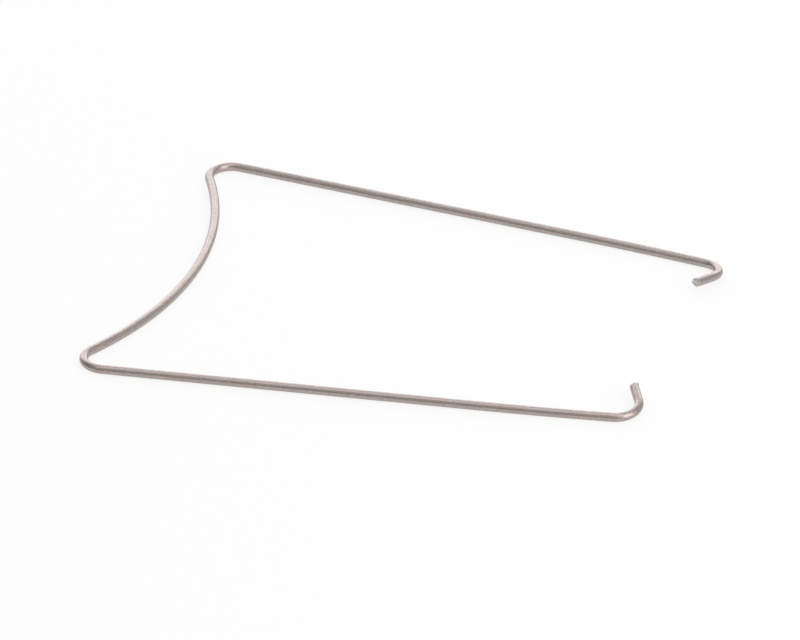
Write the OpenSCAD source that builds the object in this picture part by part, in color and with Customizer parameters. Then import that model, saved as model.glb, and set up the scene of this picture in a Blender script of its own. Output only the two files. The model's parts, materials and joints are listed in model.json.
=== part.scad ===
// Bent wire form: one length of round spring wire, bent into a bowed U.
// Its two legs lean together and end in short hooks, whose straight pins face each other.
// It lies flat, X along the legs towards the hooks, Y across them and Z up.
// The origin is on the surface that it lies on, under the middle of its outline.

/* [Wire] */
// Diameter of the wire
wire_d = 2; // [1:0.1:3]
// Inside radius of the four tight bends, which one forming pin makes
bend_inside_r = 4; // [2:0.5:8]
// How much thinner the wire is drawn in a tight bend, on its diameter
bend_thinning = 0.04; // [0.02:0.01:0.1]

/* [Frame] */
// Length over all, from the corners to the hooks
overall_length = 124; // [90:1:180]
// Width over the two corners
closed_width = 100; // [70:1:140]
// Radius of the bow that closes the U, to the middle of the wire
bow_r = 90; // [75:5:200]
// Angle at which each leg leans towards the other, in degrees
toe_in = 6; // [0:0.5:10]
// Length of the last stretch of each leg, which sweeps in towards its hook
sweep_length = 30; // [10:1:50]
// Angle through which that stretch sweeps, in degrees
sweep_angle = 2.5; // [0.5:0.5:6]

/* [Hooks] */
// Angle through which each hook is bent, in degrees
hook_angle = 108; // [90:1:120]
// Angle by which each hook is turned up out of the plane of the frame, in degrees
hook_lift = 7.5; // [0:0.5:20]
// Straight length of each pin, past its bend
pin_length = 5.6; // [3:0.1:20]
// Radius that rounds the rim of each cut end
cut_round = 0.25; // [0.05:0.05:0.4]

/* [Hidden] */
$fa = 3;
$fs = 0.15;

// Radius of the wire where it is straight, in slow curves and in tight bends
wire_r = wire_d / 2;
curve_wire_r = wire_r - bend_thinning / 4;
bend_wire_r = wire_r - bend_thinning / 2;
// Radius of the tight bends, to the middle of the wire
bend_r = bend_inside_r + wire_r;
// How far each stretch of wire runs on inside the next one
lap = 0.1;

// Centre of the bend at each corner, and the bow that runs from one corner to the other
corner_x = bend_r + bend_wire_r - overall_length / 2;
corner_y = closed_width / 2 - bend_r - bend_wire_r;
bow_angle = asin(corner_y / (bow_r + bend_r));
bow_x = corner_x - (bow_r + bend_r) * cos(bow_angle);
corner_angle = 90 + bow_angle + toe_in;

// The sweep at the end of each leg, and how far along X it reaches
sweep_r = sweep_length / (sweep_angle * PI / 180);
hook_heading = toe_in + sweep_angle;
sweep_reach = sweep_r * (sin(hook_heading) - sin(toe_in));

// Centre of each hook's bend along X: the bend's far side makes the overall length
hook_reach = bend_r * sqrt(1 - pow(sin(hook_heading) * sin(hook_lift), 2)) + bend_wire_r;
hook_x = overall_length / 2 - hook_reach;

// The straight of each leg fills what is left between the corner and the sweep
leg_start_x = corner_x + bend_r * sin(toe_in);
leg_end_x = hook_x + bend_r * sin(hook_heading) * cos(hook_lift) - sweep_reach;
leg_length = (leg_end_x - leg_start_x) / cos(toe_in);

// Part of a ring of wire about Z, from one angle to another, run on by the lap at both ends
module arc(radius, from, to, thickness_r) {
    lap_angle = lap / radius * 180 / PI;
    rotate([0, 0, from - lap_angle])
        rotate_extrude(angle = to - from + 2 * lap_angle)
            translate([radius, 0])
                circle(r = thickness_r);
}

// A straight along +X, with what follows at its far end
module straight(length) {
    translate([-lap, 0, 0])
        rotate([0, 90, 0])
            cylinder(h = length + 2 * lap, r = wire_r);
    translate([length, 0, 0])
        children();
}

// A bend that sets out along +X and turns towards -Y, with what follows at its far end
module bend(radius, angle, thickness_r) {
    translate([0, -radius, 0]) {
        arc(radius, 90 - angle, 90, thickness_r);
        rotate([0, 0, -angle])
            translate([0, radius, 0])
                children();
    }
}

// The straight end of a hook, cut off square with its rim rounded over
module pin() {
    rotate([0, 90, 0])
        rotate_extrude() {
            translate([0, -lap])
                square([wire_r, pin_length - cut_round + lap]);
            translate([0, -lap])
                square([wire_r - cut_round, pin_length + lap]);
            translate([wire_r - cut_round, pin_length - cut_round])
                circle(r = cut_round);
        }
}

// The bow across the closed end, which bulges in towards the hooks
module bow() {
    translate([bow_x, 0, 0])
        arc(bow_r, -bow_angle, bow_angle, curve_wire_r);
}

// One side of the form, in the order in which it is bent, from the end of the bow to the pin
module side() {
    translate([bow_x, 0, 0])
        rotate([0, 0, bow_angle])
            translate([bow_r, 0, 0])
                rotate([0, 0, 90])
                    bend(bend_r, corner_angle, bend_wire_r)
                        straight(leg_length)
                            bend(sweep_r, sweep_angle, curve_wire_r)
                                rotate([-hook_lift, 0, 0])
                                    bend(bend_r, hook_angle, bend_wire_r)
                                        pin();
}

// The whole wire, lying on its legs
module wire_form() {
    color("darkgray")
        translate([0, 0, wire_r]) {
            bow();
            side();
            mirror([0, 1, 0])
                side();
        }
}

wire_form();
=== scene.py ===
# %% [markdown]
# A bent wire form: one length of drawn stainless spring wire, cold bent into a bowed U with two hooks.
# A form like this is a single piece, so everything here serves one surface: the route that the wire
# follows, the round section that is swept along it, and the satin finish that the drawing die left.
# The frame holds the same wire as a plain solid. It stays as the measure for everything that follows.

# %% Load the frame
import json
from math import asin, ceil, copysign, cos, degrees, pi, radians, sin, sqrt, tan

import bpy
from mathutils import Matrix, Vector


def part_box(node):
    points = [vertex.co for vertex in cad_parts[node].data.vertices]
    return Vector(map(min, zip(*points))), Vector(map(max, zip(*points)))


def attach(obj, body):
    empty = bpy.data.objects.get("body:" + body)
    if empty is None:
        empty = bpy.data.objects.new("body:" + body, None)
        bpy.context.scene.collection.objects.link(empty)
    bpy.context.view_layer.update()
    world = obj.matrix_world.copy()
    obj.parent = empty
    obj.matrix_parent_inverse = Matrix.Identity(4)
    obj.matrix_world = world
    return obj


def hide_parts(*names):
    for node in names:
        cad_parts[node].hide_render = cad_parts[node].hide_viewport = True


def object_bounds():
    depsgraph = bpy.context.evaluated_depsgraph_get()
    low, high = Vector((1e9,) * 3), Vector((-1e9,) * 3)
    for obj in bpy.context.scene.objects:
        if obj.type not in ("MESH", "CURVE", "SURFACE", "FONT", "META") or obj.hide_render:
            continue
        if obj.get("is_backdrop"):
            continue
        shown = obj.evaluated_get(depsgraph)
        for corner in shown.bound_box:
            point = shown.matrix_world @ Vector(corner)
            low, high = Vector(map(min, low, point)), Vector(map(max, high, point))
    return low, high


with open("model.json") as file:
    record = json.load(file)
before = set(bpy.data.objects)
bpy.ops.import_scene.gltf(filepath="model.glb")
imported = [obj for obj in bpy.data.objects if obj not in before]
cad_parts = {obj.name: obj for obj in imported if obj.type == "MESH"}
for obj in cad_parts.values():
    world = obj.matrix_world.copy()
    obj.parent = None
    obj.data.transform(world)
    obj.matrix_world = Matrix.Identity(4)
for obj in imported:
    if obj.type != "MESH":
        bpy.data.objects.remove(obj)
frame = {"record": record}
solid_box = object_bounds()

MM = 0.001
low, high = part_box("wire_form")
wire_r = frame["record"]["mounts"][0]["dims"]["r_mm"] * MM
print("the solid is", [round(side / MM, 2) for side in high - low], "mm over all")
print("its wire is", 2 * wire_r / MM, "mm thick")

# %% [markdown]
# The route is what a wire bender would be given: how far to feed, and how far to turn. A Bezier curve
# drawn by eye would be close, but real bends are arcs of one radius with straights between them, and
# the eye sees the difference in the reflections. So the route is laid step by step, with a small frame
# of axes that is carried along the wire: X points ahead, Y to the left and Z up out of the bend.
# The sizes are those of the solid. Its box gives the length and the width, and the rest follows from them.

# %% Sizes of the route
BEND_R = 5 * MM
BOW_R = 90 * MM
TOE_IN = radians(6)
SWEEP_LENGTH = 30 * MM
SWEEP_ANGLE = radians(2.5)
HOOK_ANGLE = radians(108)
HOOK_LIFT = radians(7.5)
PIN_LENGTH = 5.6 * MM
# How much thinner a tight bend is drawn, on the wire's radius
BEND_THINNING = 0.02 * MM
# The cut edge is rounded by this much, so the swept section stops short of the cut
RIM_R = 0.25 * MM
# A ring of the mesh about every 0.4 mm, close enough for the tight bends
RING_STEP = 0.4 * MM

bend_reach = BEND_R + wire_r - BEND_THINNING
corner = Vector((low.x + bend_reach, high.y - bend_reach))
bow_angle = asin(corner.y / (BOW_R + BEND_R))
apex_x = corner.x - (BOW_R + BEND_R) * cos(bow_angle) + BOW_R
sweep_r = SWEEP_LENGTH / SWEEP_ANGLE
hook_heading = TOE_IN + SWEEP_ANGLE
sweep_reach = sweep_r * (sin(hook_heading) - sin(TOE_IN))
hook_tilt = sin(hook_heading) * sin(HOOK_LIFT)
hook_x = high.x - BEND_R * sqrt(1 - hook_tilt ** 2) - wire_r + BEND_THINNING
leg_start_x = corner.x + BEND_R * sin(TOE_IN)
leg_end_x = hook_x + BEND_R * sin(hook_heading) * cos(HOOK_LIFT) - sweep_reach
leg_length = (leg_end_x - leg_start_x) / cos(TOE_IN)
print("the bow turns", round(degrees(bow_angle), 2), "degrees to each side of its middle")
print("each leg is straight for", round(leg_length / MM, 2), "mm")

# %% [markdown]
# Each stretch gives the places that the carried axes pass through, one for each ring of the mesh.
# A bend swings them round a centre on the right for a positive angle, and on the left for a negative one.

# %% Straights and bends


def straight(here, length):
    count = ceil(length / RING_STEP)
    return [here @ Matrix.Translation((length * k / count, 0, 0)) for k in range(1, count + 1)]


def bend(here, radius, angle):
    count = ceil(radius * abs(angle) / RING_STEP)
    centre = Matrix.Translation((0, -copysign(radius, angle), 0))
    turns = [Matrix.Rotation(-angle * k / count, 4, "Z") for k in range(1, count + 1)]
    return [here @ centre @ turn @ centre.inverted() for turn in turns]


print("a hook takes", len(bend(Matrix(), BEND_R, HOOK_ANGLE)), "rings")

# %% [markdown]
# Only one side is laid, from the middle of the bow to the end of a pin: the other is its mirror image.

# %% Lay the route


def lay_side():
    """Each ring of one side as its axes and the curvature there, which is negative in a left turn."""
    start = Matrix.Translation((apex_x, 0, wire_r)) @ Matrix.Rotation(pi / 2, 4, "Z")
    rings = [(start, -1 / BOW_R)]
    # Radius of each stretch, its angle or length, and how far the wire is rolled before it
    stretches = [
        (BOW_R, -bow_angle, 0),
        (BEND_R, pi / 2 + bow_angle + TOE_IN, 0),
        (None, leg_length, 0),
        (sweep_r, SWEEP_ANGLE, 0),
        (BEND_R, HOOK_ANGLE, -HOOK_LIFT),
        (None, PIN_LENGTH - RIM_R, 0),
    ]
    for radius, amount, roll in stretches:
        here = rings[-1][0] @ Matrix.Rotation(roll, 4, "X")
        axes = bend(here, radius, amount) if radius else straight(here, amount)
        curvature = copysign(1 / radius, amount) if radius else 0.0
        rings += [(place, curvature) for place in axes]
    return rings


left = lay_side()
mirror = Vector((1, -1, 1))
places = [place.translation.copy() for place, _ in left]
insides = [-BEND_R * curvature * place.col[1].to_3d() for place, curvature in left]
places = places[:0:-1] + [place * mirror for place in places]
insides = insides[:0:-1] + [inside * mirror for inside in insides]
wire_length = sum((b - a).length for a, b in zip(places, places[1:]))
print(len(places), "rings along", round(wire_length / MM, 1), "mm of wire")

# %% [markdown]
# Steel doesn't go from straight to bent at a line: the bend fades in over about half a wire's diameter
# to either side. Averaging the bend over its neighbours gives that fade. The same measure says how much
# thinner the wire is drawn, and where the forming pin pressed on it.

# %% Let the bends fade in
FADE_RINGS = 3


def faded(values, k):
    near = values[max(0, k - FADE_RINGS):k + FADE_RINGS + 1]
    return sum(near, Vector()) / len(near)


insides = [faded(insides, k) for k in range(len(insides))]
thickness = [1 - BEND_THINNING / wire_r * min(1.0, inside.length) for inside in insides]
print("the wire is between", round(min(thickness), 3), "and", max(thickness), "of its own thickness")

# %% [markdown]
# The route becomes a chain of edges that carries these measures as attributes, because a node tree can
# read them by name. Nothing of it shows: it is only the line that the section is swept along.
# Two of the measures are zero all along the wire except at its ends: the way out of each cut, and the way
# that the shear's blade went through it. The two ends were cut one after the other, so each has its own.

# %% Make the route an object
LEFT_SHEAR = Vector((-0.8, 0.43, 0.3))
RIGHT_SHEAR = Vector((0.88, 0.41, 0.24))

outwards = [Vector() for _ in places]
shears = [Vector() for _ in places]
for end, beside, shear in ((0, 1, LEFT_SHEAR), (-1, -2, RIGHT_SHEAR)):
    outwards[end] = (places[end] - places[beside]).normalized()
    shears[end] = (shear - outwards[end] * shear.dot(outwards[end])).normalized()

route = bpy.data.meshes.new("wire_route")
route.from_pydata(places, [(k, k + 1) for k in range(len(places) - 1)], [])
route.attributes.new("thickness", "FLOAT", "POINT").data.foreach_set("value", thickness)
for name, vectors in (("inside", insides), ("outward", outwards), ("shear", shears)):
    numbers = [part for vector in vectors for part in vector]
    route.attributes.new(name, "FLOAT_VECTOR", "POINT").data.foreach_set("vector", numbers)
wire_maker = bpy.data.objects.new("wire_maker", route)
bpy.context.scene.collection.objects.link(wire_maker)
print("the route carries", [item.name for item in route.attributes if not item.is_internal])

# %% [markdown]
# Both kinds of node tree, for shapes and for finishes, are built with one small function. Colours are
# written as they look on a screen, and turned into the linear values that a shader works with.
# The nodes that are used most get a short name here, which keeps the lines short too.

# %% Helpers for node trees
MATH = "ShaderNodeMath"
VECTOR_MATH = "ShaderNodeVectorMath"
REMAP = "ShaderNodeMapRange"
NOISE = "ShaderNodeTexNoise"
STORE = "GeometryNodeStoreNamedAttribute"


def node(tree, kind, sockets=None, **settings):
    """Adds a node with its settings, and gives its sockets values or links, by name or by number."""
    made = tree.nodes.new(kind)
    for name, value in settings.items():
        setattr(made, name, value)
    for key, value in (sockets or {}).items():
        if isinstance(value, bpy.types.NodeSocket):
            tree.links.new(value, made.inputs[key])
        else:
            made.inputs[key].default_value = value
    return made


def linear(hex_colour):
    parts = [int(hex_colour[k:k + 2], 16) / 255 for k in (1, 3, 5)]
    return [part / 12.92 if part <= 0.04045 else ((part + 0.055) / 1.055) ** 2.4 for part in parts] + [1.0]


print("mid grey on a screen is", [round(part, 3) for part in linear("#808080")[:3]], "in a shader")

# %% [markdown]
# Cold-drawn stainless spring wire. The die pulls the metal through a hard ring, which leaves it a satin
# grey with a warm cast, in fine lines along the wire, and the dry soap that eases it through is pressed
# into the skin as a fine, even mottle. So the patterns here have to run along the wire, also round the
# bends. The wire's mesh remembers where each point was on the straight wire, before it was bent, in the
# attribute "straightened": a texture that reads it follows every bend by itself.
# Real draw lines and soap pits are about 0.05 mm wide, too fine for a pixel of 0.2 mm, and they are drawn
# four to seven times as wide, so that they show. Hair lines of nearly their real width lie over them for a
# close look: from a step away they only soften the grey.

# %% Patterns of the drawn wire
DRAW_LINE_LENGTH, DRAW_LINE_WIDTH = 14 * MM, 0.22 * MM
HAIR_LINE_LENGTH, HAIR_LINE_WIDTH = 4 * MM, 0.06 * MM
CLOUD_LENGTH, CLOUD_WIDTH = 6 * MM, 1.1 * MM
PIT_LENGTH, PIT_WIDTH = 0.38 * MM, 0.28 * MM
TINT_LENGTH, TINT_WIDTH = 0.6 * MM, 0.36 * MM

drawn_finish = bpy.data.materials.new("drawn_stainless_wire")
drawn_finish.use_nodes = True
skin = drawn_finish.node_tree
unbent_place = node(skin, "ShaderNodeAttribute", attribute_name="straightened").outputs["Vector"]


def pattern(length, width, detail):
    """A noise that is stretched along the wire, with finer layers of itself over it."""
    scale = (1 / length, 1 / width, 1 / width)
    stretched = node(skin, "ShaderNodeMapping", {"Vector": unbent_place, "Scale": scale}).outputs[0]
    return node(skin, NOISE, {"Vector": stretched, "Scale": 1.0, "Detail": detail}).outputs["Fac"]


lines = pattern(DRAW_LINE_LENGTH, DRAW_LINE_WIDTH, 2.0)
hairs = pattern(HAIR_LINE_LENGTH, HAIR_LINE_WIDTH, 2.0)
clouds = pattern(CLOUD_LENGTH, CLOUD_WIDTH, 3.0)
pits = pattern(PIT_LENGTH, PIT_WIDTH, 1.0)
tints = pattern(TINT_LENGTH, TINT_WIDTH, 1.0)
print("the draw lines are", round(DRAW_LINE_WIDTH / MM, 2), "mm wide, the pits", round(PIT_WIDTH / MM, 2))

# %% [markdown]
# The colour lies in small patches of a warmer and a cooler steel, and each pattern shades it: the pits most,
# then the hair lines, while the draw lines and the slow clouds only keep a long leg from looking painted.

# %% Colour of the drawn wire
WARM_STEEL, COOL_STEEL = "#B7A69E", "#AEA7A5"
# A noise hardly ever leaves this range
NOISE_LOW, NOISE_HIGH = 0.3, 0.7
# The darkest and the lightest shade that each pattern gives to the steel
SHADES = ((pits, 0.84, 1.13), (lines, 0.985, 1.015), (hairs, 0.91, 1.09), (clouds, 0.96, 1.04))

steel = skin.nodes["Principled BSDF"]
usual = {"From Min": NOISE_LOW, "From Max": NOISE_HIGH}
warm_or_cool = node(skin, REMAP, {"Value": tints, **usual}).outputs[0]
# A mix of colours has its sockets at 6 and 7, and its result at 2
tones = {0: warm_or_cool, 6: linear(WARM_STEEL), 7: linear(COOL_STEEL)}
tone = node(skin, "ShaderNodeMix", tones, data_type="RGBA").outputs[2]
shade = 1.0
for texture, darkest, lightest in SHADES:
    layer = node(skin, REMAP, {"Value": texture, **usual, "To Min": darkest, "To Max": lightest}).outputs[0]
    shade = node(skin, MATH, {0: shade, 1: layer}, operation="MULTIPLY").outputs[0]
colour = node(skin, VECTOR_MATH, {0: tone, "Scale": shade}, operation="SCALE").outputs[0]
skin.links.new(colour, steel.inputs["Base Color"])
steel.inputs["Metallic"].default_value = 1.0
print("the steel is between", WARM_STEEL, "and", COOL_STEEL, "with", len(SHADES), "patterns over it")

# %% [markdown]
# The gloss is that of satin: the draw lines are a little smoother than the steel between them, and the
# forming pin burnished the inside of each bend, which the mesh carries as "pressed". The pits are a shallow
# relief, and the lines a far shallower one, so the light breaks up a little without any change of shape.

# %% Gloss and relief of the drawn wire
ROUGH_BETWEEN, ROUGH_ON_LINES = 0.4, 0.37
# The share of the roughness that is left where a bend is burnished
BURNISHED_SHARE = 0.8
SKIN_DEPTH = 0.006 * MM
SKIN_STRENGTH = 0.4
# How deep the lines are, as a share of the pits
LINE_RELIEF = 0.1

pressed = node(skin, "ShaderNodeAttribute", attribute_name="pressed").outputs["Fac"]
rough = {"Value": lines, **usual, "To Min": ROUGH_BETWEEN, "To Max": ROUGH_ON_LINES}
satin = node(skin, REMAP, rough).outputs[0]
burnished = node(skin, REMAP, {"Value": pressed, "To Min": 1.0, "To Max": BURNISHED_SHARE}).outputs[0]
gloss = node(skin, MATH, {0: satin, 1: burnished}, operation="MULTIPLY").outputs[0]
skin.links.new(gloss, steel.inputs["Roughness"])
relief = pits
for texture in (lines, hairs):
    furrow = {0: texture, 1: LINE_RELIEF, 2: relief}
    relief = node(skin, MATH, furrow, operation="MULTIPLY_ADD").outputs[0]
bumps = {"Height": relief, "Distance": SKIN_DEPTH, "Strength": SKIN_STRENGTH}
skin.links.new(node(skin, "ShaderNodeBump", bumps).outputs[0], steel.inputs["Normal"])
print("made", drawn_finish.name, "with", len(skin.nodes), "nodes")

# %% [markdown]
# Sheared stainless, at the two cut ends. A shear first smears the steel bright and then tears it, so the
# face is partly smooth and partly grainy. Smears and torn grain are two noises of their own real sizes:
# their product sets how light each spot is, the smears are glossier, and the grain stands out a little.
# The grain of a real tear is about 0.1 mm, and is drawn three times as coarse, so that it shows.

# %% Finish of the cut ends
TEAR_GRAIN = 0.3 * MM
SMEAR_WIDTH = 0.5 * MM
TORN_STEEL, SMEARED_STEEL = "#B1AAAD", "#E4DEDC"
# The product of the two noises hardly ever leaves this range
MOTTLE_LOW, MOTTLE_HIGH = 0.12, 0.42
# From where to where the smears grow glossier, and the roughness at both ends
SMEAR_STARTS, SMEAR_IS_WHOLE = 0.35, 0.65
TORN_ROUGHNESS, SMEARED_ROUGHNESS = 0.56, 0.34
TEAR_DEPTH = 0.03 * MM
TEAR_STRENGTH = 0.32

cut_finish = bpy.data.materials.new("sheared_stainless_end")
cut_finish.use_nodes = True
tear = cut_finish.node_tree
steel = tear.nodes["Principled BSDF"]
place = node(tear, "ShaderNodeTexCoord").outputs["Object"]
torn = node(tear, NOISE, {"Vector": place, "Scale": 1 / TEAR_GRAIN, "Detail": 4.0}).outputs["Fac"]
smear = node(tear, NOISE, {"Vector": place, "Scale": 1 / SMEAR_WIDTH, "Detail": 1.0}).outputs["Fac"]
mottle = node(tear, MATH, {0: torn, 1: smear}, operation="MULTIPLY").outputs[0]
spread = node(tear, REMAP, {"Value": mottle, "From Min": MOTTLE_LOW, "From Max": MOTTLE_HIGH}).outputs[0]
tones = {0: spread, 6: linear(TORN_STEEL), 7: linear(SMEARED_STEEL)}
tone = node(tear, "ShaderNodeMix", tones, data_type="RGBA").outputs[2]
tear.links.new(tone, steel.inputs["Base Color"])
growing = {"Value": smear, "From Min": SMEAR_STARTS, "From Max": SMEAR_IS_WHOLE}
rough = {**growing, "To Min": TORN_ROUGHNESS, "To Max": SMEARED_ROUGHNESS}
tear.links.new(node(tear, REMAP, rough).outputs[0], steel.inputs["Roughness"])
grain = {"Height": torn, "Distance": TEAR_DEPTH, "Strength": TEAR_STRENGTH}
tear.links.new(node(tear, "ShaderNodeBump", grain).outputs[0], steel.inputs["Normal"])
steel.inputs["Metallic"].default_value = 1.0
print("made", cut_finish.name, "with", len(tear.nodes), "nodes")

# %% [markdown]
# Geometry Nodes sweep the section along the route. A curve with a bevel would do the tube, but not the
# rest: where the forming pin pressed a bend it left a small flat, and the shear rounded the rim of each
# cut, left its face uneven and dragged up a low burr on one side. In a node tree each of these is a size
# that can be changed, and the section's own coordinates can be stored for the finish.

# %% Start the tree that sweeps the wire
SIDES = 48
PRESS_DEPTH = 0.05 * MM
CUT_SLANT = tan(radians(7))
BURR_HEIGHT = 0.13 * MM
FACE_RELIEF = 0.05 * MM

sweep = bpy.data.node_groups.new("swept_wire", "GeometryNodeTree")
SWEEP_INPUTS = {
    "Route": ("NodeSocketGeometry", None),
    "Wire radius": ("NodeSocketFloat", wire_r),
    "Sides": ("NodeSocketInt", SIDES),
    "Press depth": ("NodeSocketFloat", PRESS_DEPTH),
    "Rim radius": ("NodeSocketFloat", RIM_R),
    "Cut slant": ("NodeSocketFloat", CUT_SLANT),
    "Burr height": ("NodeSocketFloat", BURR_HEIGHT),
    "Face relief": ("NodeSocketFloat", FACE_RELIEF),
    "Drawn finish": ("NodeSocketMaterial", drawn_finish),
    "Cut finish": ("NodeSocketMaterial", cut_finish),
}
for name, (kind, _) in SWEEP_INPUTS.items():
    sweep.interface.new_socket(name, in_out="INPUT", socket_type=kind)
sweep.interface.new_socket("Wire", in_out="OUTPUT", socket_type="NodeSocketGeometry")
given = node(sweep, "NodeGroupInput").outputs
print("the tree takes", ", ".join(SWEEP_INPUTS))

# %% [markdown]
# The measures that the route carries, and those that the tree itself adds on the way, are read by name.
# Such a reader has no place in the chain of shapes: it gives its value wherever it is plugged in.

# %% Readers for the measures
VECTORS = ("inside", "outward", "shear", "centre", "section")
NUMBERS = ("thickness", "along", "pressed", "lip", "cut")
stored = {}
for data_type, names in (("FLOAT_VECTOR", VECTORS), ("FLOAT", NUMBERS)):
    for name in names:
        reader = node(sweep, "GeometryNodeInputNamedAttribute", {"Name": name}, data_type=data_type)
        stored[name] = reader.outputs[0]
position = node(sweep, "GeometryNodeInputPosition").outputs[0]
normal = node(sweep, "GeometryNodeInputNormal").outputs[0]
print("the tree reads", ", ".join(stored))

# %% [markdown]
# First the tube. The route's length and the section's own X and Y travel through the sweep as attributes,
# and together they are the place of each point on the straight wire.

# %% Sweep the section
along = node(sweep, "GeometryNodeSplineParameter").outputs["Length"]
line = node(sweep, "GeometryNodeMeshToCurve", {"Mesh": given["Route"]}).outputs[0]
line = node(sweep, "GeometryNodeSetCurveNormal", {"Curve": line}, mode="Z_UP").outputs[0]
for name, value, data_type in (("along", along, "FLOAT"), ("centre", position, "FLOAT_VECTOR")):
    measure = {"Geometry": line, "Name": name, "Value": value}
    line = node(sweep, STORE, measure, data_type=data_type).outputs[0]
round_bar = {"Resolution": given["Sides"], "Radius": given["Wire radius"]}
section = node(sweep, "GeometryNodeCurvePrimitiveCircle", round_bar).outputs[0]
measure = {"Geometry": section, "Name": "section", "Value": position}
section = node(sweep, STORE, measure, data_type="FLOAT_VECTOR").outputs[0]
swept = {"Curve": line, "Profile Curve": section, "Scale": stored["thickness"], "Fill Caps": True}
tube = node(sweep, "GeometryNodeCurveToMesh", swept).outputs[0]
across = node(sweep, "ShaderNodeSeparateXYZ", {0: stored["section"]}).outputs
unbent = node(sweep, "ShaderNodeCombineXYZ", {0: stored["along"], 1: across[0], 2: across[1]}).outputs[0]
measure = {"Geometry": tube, "Name": "straightened", "Value": unbent}
tube = node(sweep, STORE, measure, data_type="FLOAT_VECTOR").outputs[0]
print("the tree has", len(sweep.nodes), "nodes up to the plain tube")

# %% [markdown]
# The forming pin touches the inside of a bend. "inside" points there and is as long as the bend is tight,
# so its product with the normal is near one only on that strip, which is pushed in a little.

# %% Press the bends
FLAT_STARTS = 0.8
facing = node(sweep, VECTOR_MATH, {0: normal, 1: stored["inside"]}, operation="DOT_PRODUCT").outputs["Value"]
strip = {"Value": facing, "From Min": FLAT_STARTS, "From Max": 1.0}
flat = node(sweep, REMAP, strip, interpolation_type="SMOOTHSTEP").outputs[0]
measure = {"Geometry": tube, "Name": "pressed", "Value": flat}
tube = node(sweep, STORE, measure, data_type="FLOAT").outputs[0]
depth = node(sweep, MATH, {0: stored["pressed"], 1: given["Press depth"]}, operation="MULTIPLY").outputs[0]
inward = node(sweep, MATH, {0: depth, 1: -1.0}, operation="MULTIPLY").outputs[0]
push = node(sweep, VECTOR_MATH, {0: normal, "Scale": inward}, operation="SCALE").outputs[0]
tube = node(sweep, "GeometryNodeSetPosition", {"Geometry": tube, "Offset": push}).outputs[0]
print("the tree has", len(sweep.nodes), "nodes up to the pressed bends")

# %% [markdown]
# Then the cut ends, which start as the two flat caps of the tube. One step draws a cap out and makes it
# smaller, and leaves a new ring of points around it. "lip" marks how much of a burr can stand on that ring,
# and "cut" the faces that the shear made.

# %% One step on a cap
TUBE_FACE_CORNERS = 4


def draw_out(geometry, faces, rise, shrink, lip, cut):
    """Draws faces out by a rise, makes them smaller, and marks the new rim and the faces around it."""
    step = {"Mesh": geometry, "Selection": faces, "Offset Scale": rise, "Individual": False}
    drawn = node(sweep, "GeometryNodeExtrudeMesh", step).outputs
    smaller = {"Geometry": drawn["Mesh"], "Selection": drawn["Top"], "Scale": shrink}
    made = node(sweep, "GeometryNodeScaleElements", smaller).outputs[0]
    marks = (("lip", lip, "POINT", drawn["Top"]), ("cut", cut, "FACE", drawn["Side"]))
    for name, value, domain, where in marks:
        mark = {"Geometry": made, "Selection": where, "Name": name, "Value": value}
        made = node(sweep, STORE, mark, data_type="FLOAT", domain=domain).outputs[0]
    return made, drawn["Top"]


# The tube's own faces have four corners each, and a cap has one for each side of the section
corners = node(sweep, "GeometryNodeInputMeshFaceNeighbors").outputs["Vertex Count"]
many = {"A": corners, "B": TUBE_FACE_CORNERS}
face = node(sweep, "FunctionNodeCompare", many, operation="GREATER_THAN").outputs[0]
print("a cap has", SIDES, "corners, and a face of the tube", TUBE_FACE_CORNERS)

# %% [markdown]
# A few steps along a quarter of a circle round the rim of each cap. The steps after them don't rise: they
# ring the flat face inwards, so that it has points which can be moved.

# %% Round the rims and ring the cut faces
RIM_STEPS = 5
# The cut's own finish starts past the middle of the rounded rim
SMEARED_FROM = radians(50)
# The lip is the sine of twice the angle round the rim, and from this value on it stays level
LIP_LEVELS = radians(135)
# How much smaller each ring of the face is than the one around it
FACE_RINGS = (0.85, 0.8, 0.72, 0.6, 0.4)

angles = [pi / 2 * k / RIM_STEPS for k in range(RIM_STEPS + 1)]
radii = []
for angle in angles:
    rounding = {0: given["Rim radius"], 1: cos(angle) - 1, 2: given["Wire radius"]}
    radii.append(node(sweep, MATH, rounding, operation="MULTIPLY_ADD").outputs[0])
ends = tube
for k in range(RIM_STEPS):
    height = sin(angles[k + 1]) - sin(angles[k])
    rise = node(sweep, MATH, {0: given["Rim radius"], 1: height}, operation="MULTIPLY").outputs[0]
    shrink = node(sweep, MATH, {0: radii[k + 1], 1: radii[k]}, operation="DIVIDE").outputs[0]
    lip = sin(min(2 * angles[k + 1], LIP_LEVELS))
    ends, face = draw_out(ends, face, rise, shrink, lip, float(angles[k] > SMEARED_FROM))
for share in FACE_RINGS:
    ends, face = draw_out(ends, face, 0.0, share, 0.0, 1.0)
mark = {"Geometry": ends, "Selection": face, "Name": "cut", "Value": 1.0}
ends = node(sweep, STORE, mark, data_type="FLOAT", domain="FACE").outputs[0]
print("each cut has", RIM_STEPS, "steps round its rim and", len(FACE_RINGS), "rings on its face")

# %% [markdown]
# A shear doesn't leave a flat square end. Its blade presses one side over before the steel gives way, so the
# cut slants, and on the side where the blade came out the rim stays sharp and carries a low burr. Both
# follow from how far each point lies towards that side, which is a product with the "shear" direction.

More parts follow.
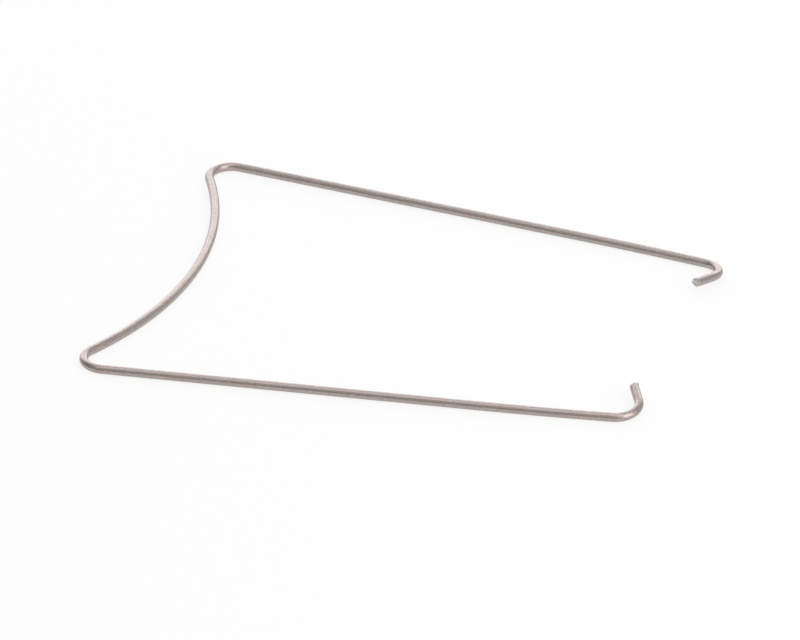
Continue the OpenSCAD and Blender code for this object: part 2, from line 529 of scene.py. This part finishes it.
# %% Slant the cuts and lift the burrs
BURR_STARTS = 0.45
BURR_IS_WHOLE = 0.9
arm = node(sweep, VECTOR_MATH, {0: position, 1: stored["centre"]}, operation="SUBTRACT").outputs[0]
side = node(sweep, VECTOR_MATH, {0: arm, 1: stored["shear"]}, operation="DOT_PRODUCT").outputs["Value"]
reach = node(sweep, MATH, {0: side, 1: given["Wire radius"]}, operation="DIVIDE").outputs[0]
sharp_side = {"Value": reach, "From Min": BURR_STARTS, "From Max": BURR_IS_WHOLE}
sharp = node(sweep, REMAP, sharp_side, interpolation_type="SMOOTHSTEP").outputs[0]
lip = node(sweep, MATH, {0: sharp, 1: stored["lip"]}, operation="MULTIPLY").outputs[0]
height = node(sweep, MATH, {0: lip, 1: given["Burr height"]}, operation="MULTIPLY").outputs[0]
burr = node(sweep, VECTOR_MATH, {0: normal, "Scale": height}, operation="SCALE").outputs[0]
longer = node(sweep, MATH, {0: side, 1: given["Cut slant"]}, operation="MULTIPLY").outputs[0]
slant = node(sweep, VECTOR_MATH, {0: stored["outward"], "Scale": longer}, operation="SCALE").outputs[0]
moved = node(sweep, VECTOR_MATH, {0: burr, 1: slant}, operation="ADD").outputs[0]
ends = node(sweep, "GeometryNodeSetPosition", {"Geometry": ends, "Offset": moved}).outputs[0]
print("the cuts slant by", round(2 * wire_r * CUT_SLANT / MM, 2), "mm across the wire")

# %% [markdown]
# The face itself is uneven, because the last of the steel tears. A slow noise lifts and sinks its rings.

# %% Roughen the cut faces
TEAR_SIZE = 0.7 * MM
NOISE_MIDDLE = 0.5
torn = node(sweep, NOISE, {"Vector": position, "Scale": 1 / TEAR_SIZE, "Detail": 2.0}).outputs["Fac"]
uneven = node(sweep, MATH, {0: torn, 1: -NOISE_MIDDLE}, operation="ADD").outputs[0]
relief = node(sweep, MATH, {0: uneven, 1: given["Face relief"]}, operation="MULTIPLY").outputs[0]
lift = node(sweep, VECTOR_MATH, {0: normal, "Scale": relief}, operation="SCALE").outputs[0]
torn_face = {"Geometry": ends, "Selection": stored["cut"], "Offset": lift}
ends = node(sweep, "GeometryNodeSetPosition", torn_face).outputs[0]
print("the cut faces are uneven by up to", round(FACE_RELIEF / 2 / MM, 3), "mm either way")

# %% [markdown]
# A tree only shows on the object that carries it, and the export wants a plain mesh. So the tree ends with
# its finishes, the result is copied as a mesh of its own, and the object that made it goes away.
# The caps come out of the sweep with sharp edges, so both the faces and the edges are set to smooth.

# %% Finish the tree and keep its mesh
whole = ends
for domain in ("FACE", "EDGE"):
    whole = node(sweep, "GeometryNodeSetShadeSmooth", {"Geometry": whole}, domain=domain).outputs[0]
whole = node(sweep, "GeometryNodeRealizeInstances", {"Geometry": whole}).outputs[0]
for finish, where in (("Drawn finish", True), ("Cut finish", stored["cut"])):
    dressed = {"Geometry": whole, "Selection": where, "Material": given[finish]}
    whole = node(sweep, "GeometryNodeSetMaterial", dressed).outputs[0]
node(sweep, "NodeGroupOutput", {"Wire": whole})

modifier = wire_maker.modifiers.new("swept_wire", "NODES")
modifier.node_group = sweep
for item in sweep.interface.items_tree:
    if item.in_out == "INPUT" and item.name != "Route":
        modifier[item.identifier] = SWEEP_INPUTS[item.name][1]
evaluated = wire_maker.evaluated_get(bpy.context.evaluated_depsgraph_get())
wire_mesh = bpy.data.meshes.new_from_object(evaluated)
wire_maker.modifiers.remove(modifier)
bpy.data.objects.remove(wire_maker)
bent_wire = bpy.data.objects.new("bent_wire", wire_mesh)
bpy.context.scene.collection.objects.link(bent_wire)
print(len(wire_mesh.polygons), "faces,", [slot.name for slot in wire_mesh.materials])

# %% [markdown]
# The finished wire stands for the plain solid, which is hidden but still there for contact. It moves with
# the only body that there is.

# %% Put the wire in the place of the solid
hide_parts("wire_form")
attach(bent_wire, "root")
print(bent_wire.name, "stands at", list(bent_wire.location), "in the place of the solid")

# %% [markdown]
# The floor is a wide sheet of pale matt paper at the height that the wire lies on. Paper that is only lit
# comes out a little grey, and with more light on it the wire would burn out too. So a part of the paper's
# white glows by itself, at a strength of 1, for the rays that end in the picture: those from the camera and
# those that the metal reflects. The rest is lit paper, which keeps the wire's shadow.

# %% Floor
FLOOR_HALF = 20.0
GLOWING_PART = 0.82
floor_mesh = bpy.data.meshes.new("floor")
floor_corners = [(x * FLOOR_HALF, y * FLOOR_HALF, 0) for x, y in ((-1, -1), (1, -1), (1, 1), (-1, 1))]
floor_mesh.from_pydata(floor_corners, [], [(0, 1, 2, 3)])
floor = bpy.data.objects.new("floor", floor_mesh)
bpy.context.scene.collection.objects.link(floor)

paper = bpy.data.materials.new("pale_paper")
paper.use_nodes = True
sheet = paper.node_tree
matt = sheet.nodes["Principled BSDF"]
matt.inputs["Base Color"].default_value = linear("#F8F7F6")
matt.inputs["Roughness"].default_value = 1.0
matt.inputs["Specular IOR Level"].default_value = 0.0
rays = node(sheet, "ShaderNodeLightPath").outputs
seen = rays["Is Camera Ray"]
for kind in ("Is Glossy Ray", "Is Transmission Ray"):
    seen = node(sheet, MATH, {0: seen, 1: rays[kind]}, operation="MAXIMUM").outputs[0]
glowing = node(sheet, MATH, {0: seen, 1: GLOWING_PART}, operation="MULTIPLY").outputs[0]
white = node(sheet, "ShaderNodeEmission", {"Color": linear("#FFFFFF"), "Strength": 1.0}).outputs[0]
mixed = node(sheet, "ShaderNodeMixShader", {0: glowing, 1: matt.outputs[0], 2: white}).outputs[0]
sheet.links.new(mixed, sheet.nodes["Material Output"].inputs["Surface"])
floor_mesh.materials.append(paper)
floor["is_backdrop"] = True
print("the floor is", 2 * FLOOR_HALF, "m square")

# %% [markdown]
# A metal shows its surroundings, so the light is a small studio of soft panels. A broad one behind on the
# left lights the bow and the upper edge of each leg, with a weaker one behind on the right. One hangs
# overhead and a dim one high in front. A bright key panel on the right, past the hooks, makes the glints in
# the bends. Each panel is given as angles, an apparent size and a brightness, where 1 is the white of the
# picture.

# %% Panels of light
PANEL_DISTANCE = 1.2
# Azimuth, elevation, apparent width and height in degrees, then brightness and colour
PANELS = {
    "back_panel": (-156, 24, 78, 45, 1.8, "#F7FAFF"),
    "far_right_panel": (140, 22, 60, 40, 0.45, "#FFFFFF"),
    "front_panel": (0, 42, 100, 40, 0.36, "#FFFFFF"),
    "top_panel": (0, 90, 50, 50, 1.2, "#FFFFFF"),
    "key_panel": (67, 29, 38, 58, 2.4, "#FDFEFF"),
}


def direction(azimuth, elevation):
    az, el = radians(azimuth), radians(elevation)
    return Vector((sin(az) * cos(el), -cos(az) * cos(el), sin(el)))


def panel(name, azimuth, elevation, wide, tall, brightness, colour):
    lamp = bpy.data.lights.new(name, "AREA")
    lamp.color = linear(colour)[:3]
    lamp.shape = "RECTANGLE"
    lamp.size = 2 * PANEL_DISTANCE * tan(radians(wide) / 2)
    lamp.size_y = 2 * PANEL_DISTANCE * tan(radians(tall) / 2)
    lamp.energy = brightness * pi * lamp.size * lamp.size_y
    light = bpy.data.objects.new(name, lamp)
    towards = direction(azimuth, elevation)
    facing_wire = towards.to_track_quat("Z", "Y").to_matrix().to_4x4()
    light.matrix_world = Matrix.Translation(towards * PANEL_DISTANCE) @ facing_wire
    bpy.context.scene.collection.objects.link(light)


for name, measures in PANELS.items():
    panel(name, *measures)
print("light from", ", ".join(PANELS))

# %% [markdown]
# The room around the panels is dim and a little warm. The steel mirrors it wherever it mirrors no panel, and
# that is the dark band along each leg.

# %% Room
ROOM_BRIGHTNESS = 0.26
room = bpy.data.worlds.new("dim_room")
room.use_nodes = True
walls = room.node_tree.nodes["Background"].inputs
walls["Color"].default_value = linear("#FFFBF6")
walls["Strength"].default_value = ROOM_BRIGHTNESS
bpy.context.scene.world = room
print("the room has", ROOM_BRIGHTNESS, "of the brightness of the picture's white")

# %% [markdown]
# The camera stands where the photograph was taken from: a little to the right of the form's length, looking
# down at it through a long lens from over two metres away, so that its far side is hardly smaller.

# %% Camera
CAMERA_AZIMUTH = 17.23
CAMERA_ELEVATION = 28.8
CAMERA_DISTANCE = 2.406
LENS_MM = 491.85
SENSOR_MM = 36
# The middle of the picture lies this far to the right of the form's middle and above it
AIM_RIGHT = -2.597 * MM
AIM_UP = -3.886 * MM

back = direction(CAMERA_AZIMUTH, CAMERA_ELEVATION)
right = Vector((cos(radians(CAMERA_AZIMUTH)), sin(radians(CAMERA_AZIMUTH)), 0))
up = back.cross(right)
middle = Vector((0, 0, wire_r))
camera_data = bpy.data.cameras.new("camera")
camera_data.lens = LENS_MM
camera_data.sensor_width = SENSOR_MM
camera_data.sensor_fit = "HORIZONTAL"
camera = bpy.data.objects.new("camera", camera_data)
turn = Matrix((right, up, back)).transposed().to_4x4()
stand = middle + right * AIM_RIGHT + up * AIM_UP + back * CAMERA_DISTANCE
camera.matrix_world = Matrix.Translation(stand) @ turn
bpy.context.scene.collection.objects.link(camera)
bpy.context.scene.camera = camera
bpy.context.scene.view_settings.view_transform = "Standard"
print("the camera stands at", [round(part, 3) for part in stand], "m")

# %% [markdown]
# Last, the two boxes are set side by side: the solid's, kept from the start, and that of what is seen now.
# A finish may not change the size of a part, so they have to agree.

# %% Print the two boxes and finish
visual_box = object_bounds()
boxes = {"cad": [list(corner) for corner in solid_box], "visual": [list(corner) for corner in visual_box]}
for name, box in boxes.items():
    print("box of the", name, "model in mm", [[round(x / MM, 2) for x in point] for point in box])
